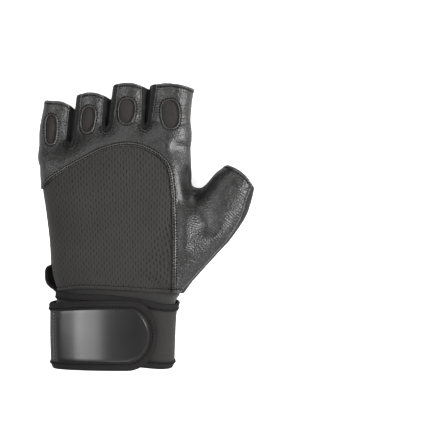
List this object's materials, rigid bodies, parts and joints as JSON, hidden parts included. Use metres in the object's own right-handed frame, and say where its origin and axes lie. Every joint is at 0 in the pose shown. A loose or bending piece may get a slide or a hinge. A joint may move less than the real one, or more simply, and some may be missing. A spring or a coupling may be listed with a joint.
{
  "type": "weightlifting glove",
  "caption": "Fingerless left-hand weightlifting glove with padded palm, stretch mesh back, vented knuckles and a wound wrist strap.",
  "frame": {"origin": "on the flat underside of the stuffed centre pad of the palm, where the glove rests", "axes": "+Y from the wrist to the fingertips, +X towards the thumb, +Z out of the back of the hand"},
  "size_m": [0.1454, 0.1934, 0.0435],
  "materials": {
    "leather": "black goatskin, fine grain, satin",
    "pad_leather": "black leather stretched over foam, pebbled, satin",
    "mesh": "black stretch mesh with a faint brown cast",
    "stretch_fabric": "black four-way stretch knit, matt",
    "neoprene": "black fabric-faced neoprene, matt",
    "strap_fabric": "black brushed loop fabric on an elastic strap, matt",
    "binding": "black woven tape, folded over and sewn",
    "panel": "black smooth coated leather, glossy"
  },
  "bodies": {
    "root": {"back_yoke": "leather", "mesh_back": "mesh", "vent_little": "mesh", "vent_ring": "mesh", "vent_middle": "mesh", "vent_index": "mesh", "fourchette_little_ring": "stretch_fabric", "fourchette_ring_middle": "stretch_fabric", "fourchette_middle_index": "stretch_fabric", "thumb_gusset": "stretch_fabric", "palm_leather": "leather", "knit_tip_ring": "stretch_fabric", "knit_tip_middle": "stretch_fabric", "pad_knuckle": "pad_leather", "pad_grip": "pad_leather", "pad_centre": "pad_leather", "pad_heel": "pad_leather", "pad_thumb": "pad_leather", "cuff_sleeve": "neoprene", "wrist_strap": "strap_fabric", "strap_binding": "binding", "strap_panel": "panel", "pull_loop": "binding"}
  },
  "joints": []
}
